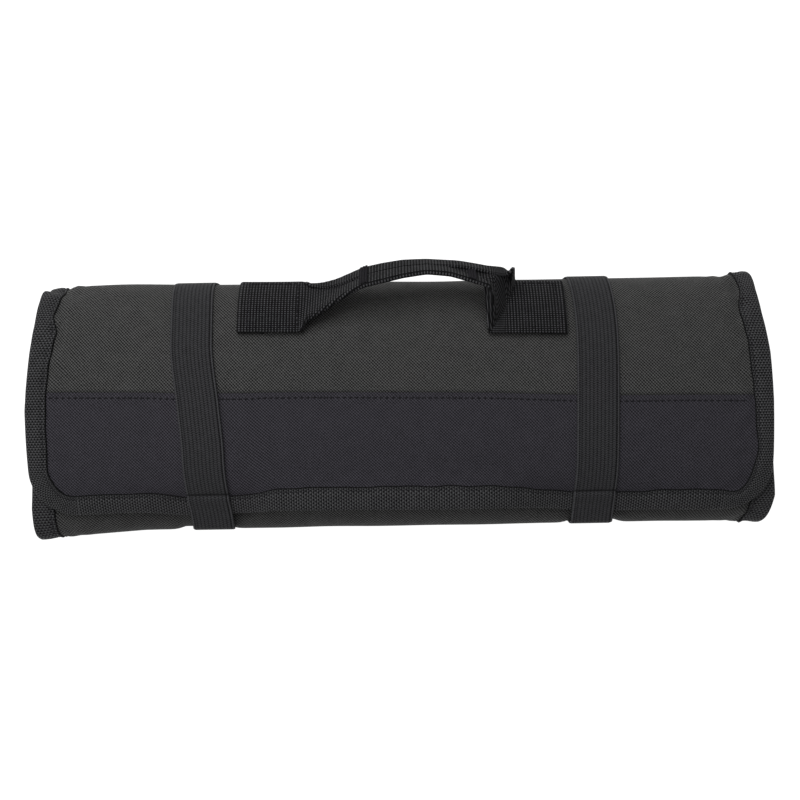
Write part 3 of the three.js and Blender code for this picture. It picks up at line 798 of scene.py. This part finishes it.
# The two straps: loops of ribbed knitted elastic that hold the roll shut. They climb from the
# layer below on to the hem, press the padding in, and lean a little on their way round.
STRAP_TURNS = [-0.2, -0.03, 0.09, 0.22, 0.36, 0.58, 0.8]
STRAP_LEANS = {
    "strap_left": [-0.04, 0.21, 0.11, -0.14, -0.21, -0.14, -0.04],
    "strap_right": [0.04, -0.05, 0, 0.05, 0, 0.02, 0.04],
}
CLIMB_START = 0.89
CLIMB_END = 0.975
COVER_FULL = 0.97 * TAPE_WIDTH
COVER_END = 1.1 * TAPE_WIDTH
ELASTIC_DARK = (0.002, 0.002, 0.0024)
ELASTIC_LIGHT = (0.052, 0.052, 0.056)


def knitted_elastic(name, dark, light, width, rib):
    """Elastic: soft lengthwise ribs, rows of knit that zigzag across them, a thin pale line with a groove
    inside it at each selvedge, both painted light over a bump, and painted shade of a crease where the band
    bends at the hem."""
    material, start = new_material(name)
    place = start.node("ShaderNodeUVMap", {"uv_map": "cloth"})
    across, down = place.places()
    uneven = start.node("ShaderNodeTexNoise", Vector=place, Scale=0.2, Detail=3.0)
    fuzz = start.node("ShaderNodeTexNoise", Vector=place, Scale=1.3, Detail=2.0)
    ribs = across.wave(rib).rise(-1.0, 0.2)
    knit = (down + across.wave(rib * 1.5) * 0.45).wave(1.5).rise(-0.7, 0.8)
    from_edge = (width / 2) - across.math("ABSOLUTE")
    # Painted highlight and painted shade: the raised selvedge line is paler in the colour, and the groove
    # inside it darker; both also go into the bump.
    selvedge = from_edge.rise(0.2, 0.6) * (1.0 - from_edge.rise(0.9, 1.4))
    groove = from_edge.rise(1.1, 1.6) * (1.0 - from_edge.rise(1.9, 2.5))
    # Painted shade: the colour darkens to a quarter in a narrow band at the bend, for the shade of the crease
    # there.
    painted_crease_shade = down.math("ABSOLUTE").rise(0.2, 1.5) * 0.75 + 0.25
    height = ribs * 0.45 + knit * 0.45 + selvedge * 0.4 - groove * 0.5
    shade = ribs * 0.26 + knit * 0.36 + uneven * 0.2 + fuzz * 0.5 + selvedge * 0.5 - groove * 0.3 - 0.3
    shade = shade * painted_crease_shade
    return finish_cloth(material, start, shade.tint(dark, light), 0.9 - shade * 0.25, height, 0.3)


elastic_weave = knitted_elastic("elastic", ELASTIC_DARK, ELASTIC_LIGHT, STRAP_WIDTH, 2.5)
strap_path = sample_path(lambda t: layer_depth(t) * (1 - smooth(t, CLIMB_START, CLIMB_END)), 0.0, 1.0)
strap_run = strap_path["run"][-1]
strap_lift = SHEET / 2 + FIT_GAP + STRAP_THICKNESS / 2


def strap_shift(name, turn):
    """How far a strap lies from its place: its table, eased from row to row."""
    offsets = STRAP_LEANS[name]
    whole = STRAP_TURNS[0] + np.mod(turn - STRAP_TURNS[0], 1)
    row = np.clip(np.searchsorted(STRAP_TURNS, whole, side="right") - 1, 0, len(STRAP_TURNS) - 2)
    low, high = np.take(STRAP_TURNS, row), np.take(STRAP_TURNS, row + 1)
    share = smooth((whole - low) / (high - low), 0, 1)
    return STRAP_WIDTH * (np.take(offsets, row) * (1 - share) + np.take(offsets, row + 1) * share)


def strap_line(name):
    """The strap's middle line as a closed loop: over the sheet at its lift, raised over the tape,
    then straight up on to the hem, and rounded by averaging neighbours. It comes with the row where
    the strap bends."""
    place = STRAP_PLACES[name]
    tug = hem_shift(place)
    run = np.linspace(2.0, strap_run - tug - tape_proud, 440)
    at = read_path(strap_path, run)
    past_hem = np.minimum(run + tug * np.maximum(0, 1 - run / HEM_FADE), strap_run - run)
    over_tape = tape_proud * (1 - smooth(past_hem, COVER_FULL, COVER_END))
    over_tape = over_tape - 0.6 * bell((past_hem - COVER_END) / 1.2)
    lift = strap_lift + over_tape + squeeze(place, at["turn"]) + bulge(place, at["turn"])
    x = place + strap_shift(name, at["turn"])
    line = np.stack([x, at["y"] + at["out_y"] * lift, at["z"] + at["out_z"] * lift], axis=-1)
    climb = np.linspace(line[-1], line[0], 8)[1:-1]
    loop = np.concatenate([line, climb])
    for _ in range(2):
        loop = 0.25 * np.roll(loop, 1, 0) + 0.5 * loop + 0.25 * np.roll(loop, -1, 0)
    return loop, np.argmax(past_hem > COVER_END)


for strap_name in STRAP_PLACES:
    loop, bend_row = strap_line(strap_name)
    side = np.linspace(-1, 1, 23)
    middle = np.repeat(loop[:, None], len(side), axis=1)
    middle[..., 0] += side[None, :] * STRAP_WIDTH / 2
    edge_round = 1 - 0.45 * smooth(np.abs(side), 0.93, 1.0)
    half = np.tile(STRAP_THICKNESS / 2 * edge_round, (len(loop), 1))
    steps = np.linalg.norm(np.diff(loop, axis=0), axis=-1)
    length = np.concatenate([[0], np.cumsum(steps)])
    # The cloth's length counts from the bend, where the elastic's colour carries painted shade for the
    # crease.
    from_bend = length[:, None] - length[bend_row]
    cloth = np.stack(np.broadcast_arrays(side[None, :] * STRAP_WIDTH / 2, from_bend), axis=-1)
    strap = make_slab(
        f"{strap_name}_elastic",
        middle,
        (half, half),
        cloth,
        elastic_weave,
        strap_name,
        loop_rows=True,
    )


# The handle: heavy webbing with its ends turned under and sewn down flat in a box of stitches.
# Along the grip both of its edges are folded over the outer face to meet in the middle, slowly at
# the left and at once at the right, and a bar tack holds them shut at both ends.
WEBBING_WIDTH = 38.0
WEBBING = 2.0
HANDLE_LENGTH = 217.0
HANDLE_PLACE = 3.0
HANDLE_RUN = (139.5, 135.0)
TAB_LEFT = 40.0
TAB_RIGHT = 46.0
TAB_UNDER = 16.0
GRIP_RISE = 25.0
GRIP_LEAN = np.radians(60.0)
handle_ends = (HANDLE_PLACE - HANDLE_LENGTH / 2, HANDLE_PLACE + HANDLE_LENGTH / 2)
grip_ends = (handle_ends[0] + TAB_LEFT, handle_ends[1] - TAB_RIGHT)
tab_lower = SHEET / 2 + FIT_GAP + WEBBING / 2
tab_upper = tab_lower + WEBBING + FIT_GAP
GRIP_WAYS = [0, 0.06, 0.13, 0.2, 0.27, 0.34, 0.43, 0.53, 0.65, 0.76, 0.87, 0.95, 0.975, 1]
GRIP_RISES = [0, 0.03, 0.2, 0.38, 0.6, 0.81, 0.93, 1, 0.99, 0.95, 0.82, 0.82, 0.6, 0]
GRIP_LEANS = [0, 0.3, 0.42, 0.6, 0.64, 0.6, 0.63, 0.75, 0.95, 0.92, 0.8, 0.55, 0.4, 0]
GRIP_FOLDS = [0.3, 0.8, 1, 1, 1, 1, 1, 1, 1, 1, 1, 1, 0.7, 0]
GRIP_FOLD_PLACES = [0.93, 0.8, 0.69, 0.6, 0.54, 0.505, 0.505, 0.505, 0.505, 0.505, 0.505, 0.505, 0.505, 0.505]
SLANT_SHARES = [-1, -0.1, 0.2, 1]
RIGHT_SLANTS = [-0.04, 0.06, 0.075, 0.115]
FOLD_SPAN = 0.095
RIGHT_DROP = 0.028
MIDDLE_DROP = 0.07
TACK_WAYS = (0.335, 0.875)
TACK_COLUMNS = np.array([-1.7, 0.0, 1.7])
TACK_PLACES = np.arange(-8.6, 8.7, 0.85)
WEBBING_DARK = (0.001, 0.001, 0.0013)
WEBBING_LIGHT = (0.07, 0.07, 0.075)
webbing_weave = ribbed_tape("webbing", WEBBING_DARK, WEBBING_LIGHT, 2.0, 1.45, 0.35, False)


def handle_run(x):
    """The run that the middle of the webbing lies at, from one end of the handle to the other."""
    return np.interp(x, handle_ends, HANDLE_RUN)


def grip_frame(way, read):
    """The grip's middle line and its directions across and outward: the seat on the roll, moved out
    along a direction that leans from the roll's own."""
    rise = read_table(read, GRIP_WAYS, GRIP_RISES, 0.012)
    lean_share = read_table(read, GRIP_WAYS, GRIP_LEANS, 0.02)
    x = grip_ends[0] + (grip_ends[1] - grip_ends[0]) * way
    seat = read_path(sheet_path, handle_run(x))
    seat_lean = np.arctan2(seat["out_y"], seat["out_z"])
    lean = seat_lean + (GRIP_LEAN - seat_lean) * lean_share
    off = tab_upper + GRIP_RISE * rise
    middle = np.stack([x, seat["y"] + off * np.sin(lean), seat["z"] + off * np.cos(lean)], axis=-1)
    outward = np.stack([0 * lean, np.sin(lean), np.cos(lean)], axis=-1)
    across = np.stack([0 * lean, np.cos(lean), -np.sin(lean)], axis=-1)
    return middle, across, outward


def grip_points(way, share):
    """The webbing in the air: each half runs flat from the middle to its fold, is carried round it
    by a direction that turns over the fold's span, and lies back on the flat part."""
    slant = np.interp(share, SLANT_SHARES, RIGHT_SLANTS)[None, :] * smooth(way, 0.6, 0.95)[:, None]
    read = np.minimum(way[:, None] / (1 + slant), 1)
    middle, across, outward = grip_frame(way[:, None] + 0 * share[None, :], read)
    between = (read[:, 1:] + read[:, :-1]) / 2
    half_share = np.abs(share[1:] + share[:-1])[None, :] / 2
    fold_place = read_table(between, GRIP_WAYS, GRIP_FOLD_PLACES, 0.02)
    turned = smooth(half_share, fold_place - FOLD_SPAN, fold_place + FOLD_SPAN)
    turned = np.pi * turned * read_table(between, GRIP_WAYS, GRIP_FOLDS, 0.012)
    step = np.diff(share)[None, :] * WEBBING_WIDTH / 2
    side = np.sign(share[1:] + share[:-1])[None, :]
    centre = len(share) // 2
    none = np.zeros((len(way), 1))
    flat = np.concatenate([none, np.cumsum(step * np.cos(turned), axis=1)], axis=1)
    raised = np.concatenate([none, np.cumsum(step * np.sin(turned) * side, axis=1)], axis=1)
    flat = flat - flat[:, centre : centre + 1]
    raised = raised - raised[:, centre : centre + 1]
    return middle + across * flat[..., None] + outward * raised[..., None], read


def tab_points(x, lift, share):
    """The webbing where it lies on the sheet, at places along the roll and lifts above it."""
    run = handle_run(x)[:, None] + share[None, :] * WEBBING_WIDTH / 2
    points = on_sheet(x[:, None] + 0 * run, run, lift[:, None] + 0 * run)
    points[..., 0] = x[:, None]
    return points


def tab_end(end, inward):
    """Places and lifts of a turned-under end: the lower ply, the round fold and the upper ply."""
    radius = (tab_upper - tab_lower) / 2
    flat = np.linspace(TAB_UNDER, radius, 14)
    angle = np.linspace(0, np.pi, 9)[1:-1]
    x = np.concatenate([flat, radius - radius * np.sin(angle), flat[::-1]])
    turn_lift = (tab_lower + tab_upper) / 2 - radius * np.cos(angle)
    lift = np.concatenate([tab_lower + 0 * flat, turn_lift, tab_upper + 0 * flat])
    return end + inward * x, lift


web_share = np.linspace(-1, 1, 57)
last_way = 1.01 + RIGHT_SLANTS[-1]
grip_way = np.concatenate([np.linspace(0, 0.88, 150), np.linspace(0.88, last_way, 90)[1:]])
sewn_x = grip_ends[0] + (grip_ends[1] - grip_ends[0]) * grip_way
sewn = tab_points(sewn_x, tab_upper + 0 * sewn_x, web_share)
in_air, grip_read = grip_points(grip_way, web_share)
drop = RIGHT_DROP + MIDDLE_DROP * bell((web_share + 0.15) / 0.4)[None, :]
free = smooth(grip_read, 0, 0.05) * smooth((1 - grip_read) / drop, 0, 1)
grip = sewn * (1 - free[..., None]) + in_air * free[..., None]
left_x, left_lift = tab_end(handle_ends[0], 1)
right_x, right_lift = tab_end(handle_ends[1], -1)
left_bridge = np.linspace(handle_ends[0] + TAB_UNDER, grip_ends[0], 22)[1:-1]
right_bridge = np.linspace(sewn_x[-1], handle_ends[1] - TAB_UNDER, 20)[1:-1]
web_middle = np.concatenate(
    [
        tab_points(left_x, left_lift, web_share),
        tab_points(left_bridge, tab_upper + 0 * left_bridge, web_share),
        grip,
        tab_points(right_bridge, tab_upper + 0 * right_bridge, web_share),
        tab_points(right_x[::-1], right_lift[::-1], web_share),
    ]
)
centre_line = web_middle[:, len(web_share) // 2]
web_length = np.concatenate([[0], np.cumsum(np.linalg.norm(np.diff(centre_line, axis=0), axis=-1))])
web_edge = 1 - 0.25 * smooth(np.abs(web_share), 0.97, 1.0)
web_half = np.tile(WEBBING / 2 * web_edge, (len(web_middle), 1))
web_across = web_share[None, :] * WEBBING_WIDTH / 2
web_cloth = np.stack(np.broadcast_arrays(web_length[:, None], web_across), axis=-1)
handle = make_slab(
    "handle_webbing",
    web_middle,
    (web_half, web_half),
    web_cloth,
    webbing_weave,
    "handle",
)

# Boxes of stitches on both tabs, and bar tacks of close long stitches across the folded grip.
BOX_STITCH = 3.2
BOX_MARGIN = 3.0


def box_stitches(start, end):
    """Ends and outward directions of a box of stitches on a tab, from its four sides."""
    half = WEBBING_WIDTH / 2 - BOX_MARGIN
    long_way = np.arange(start + BOX_STITCH / 2, end, BOX_STITCH)
    cross_way = np.arange(-half + BOX_STITCH / 2, half, BOX_STITCH)
    x = np.concatenate([long_way, long_way, start + 0 * cross_way, end + 0 * cross_way])
    aside = np.concatenate([half + 0 * long_way, -half + 0 * long_way, cross_way, cross_way])
    is_long = np.concatenate([1 + 0 * long_way, 1 + 0 * long_way, 0 * cross_way, 0 * cross_way])
    step = BOX_STITCH * STITCH_SHOWN
    lift = tab_upper + WEBBING / 2 + 0.05
    return sheet_stitches(x, handle_run(x) + aside, lift, step * is_long, step * (1 - is_long))


left_box = box_stitches(handle_ends[0] + 5.0, grip_ends[0] - 2.0)
right_box = box_stitches(sewn_x[-1] + 3.0, handle_ends[1] - 4.5)
box_ends = [np.concatenate(pair) for pair in zip(left_box, right_box)]
sew("tab_stitching", *box_ends, "webbing")


def tack_stitches(way):
    """Ends and outward directions of a bar tack: three close columns of stitches that lie along the
    grip, from one of its folded edges to the other."""
    columns, places = np.meshgrid(TACK_COLUMNS, TACK_PLACES)
    spot = way + columns.ravel() / (grip_ends[1] - grip_ends[0])
    middle, across, outward = grip_frame(spot, spot)
    centre = middle + across * places.ravel()[:, None] + outward * (WEBBING * 1.5 + 0.35)
    beside = way + np.array([-0.01, 0.01])
    ahead = np.diff(grip_frame(beside, beside)[0], axis=0)[0]
    ahead = ahead / np.linalg.norm(ahead) * 1.1
    return centre - ahead, centre + ahead, outward


tacks = [tack_stitches(way) for way in TACK_WAYS]
tack_ends = [np.concatenate(columns) for columns in zip(*tacks)]
sew("grip_bar_tacks", *tack_ends, "webbing", thickness=0.4)
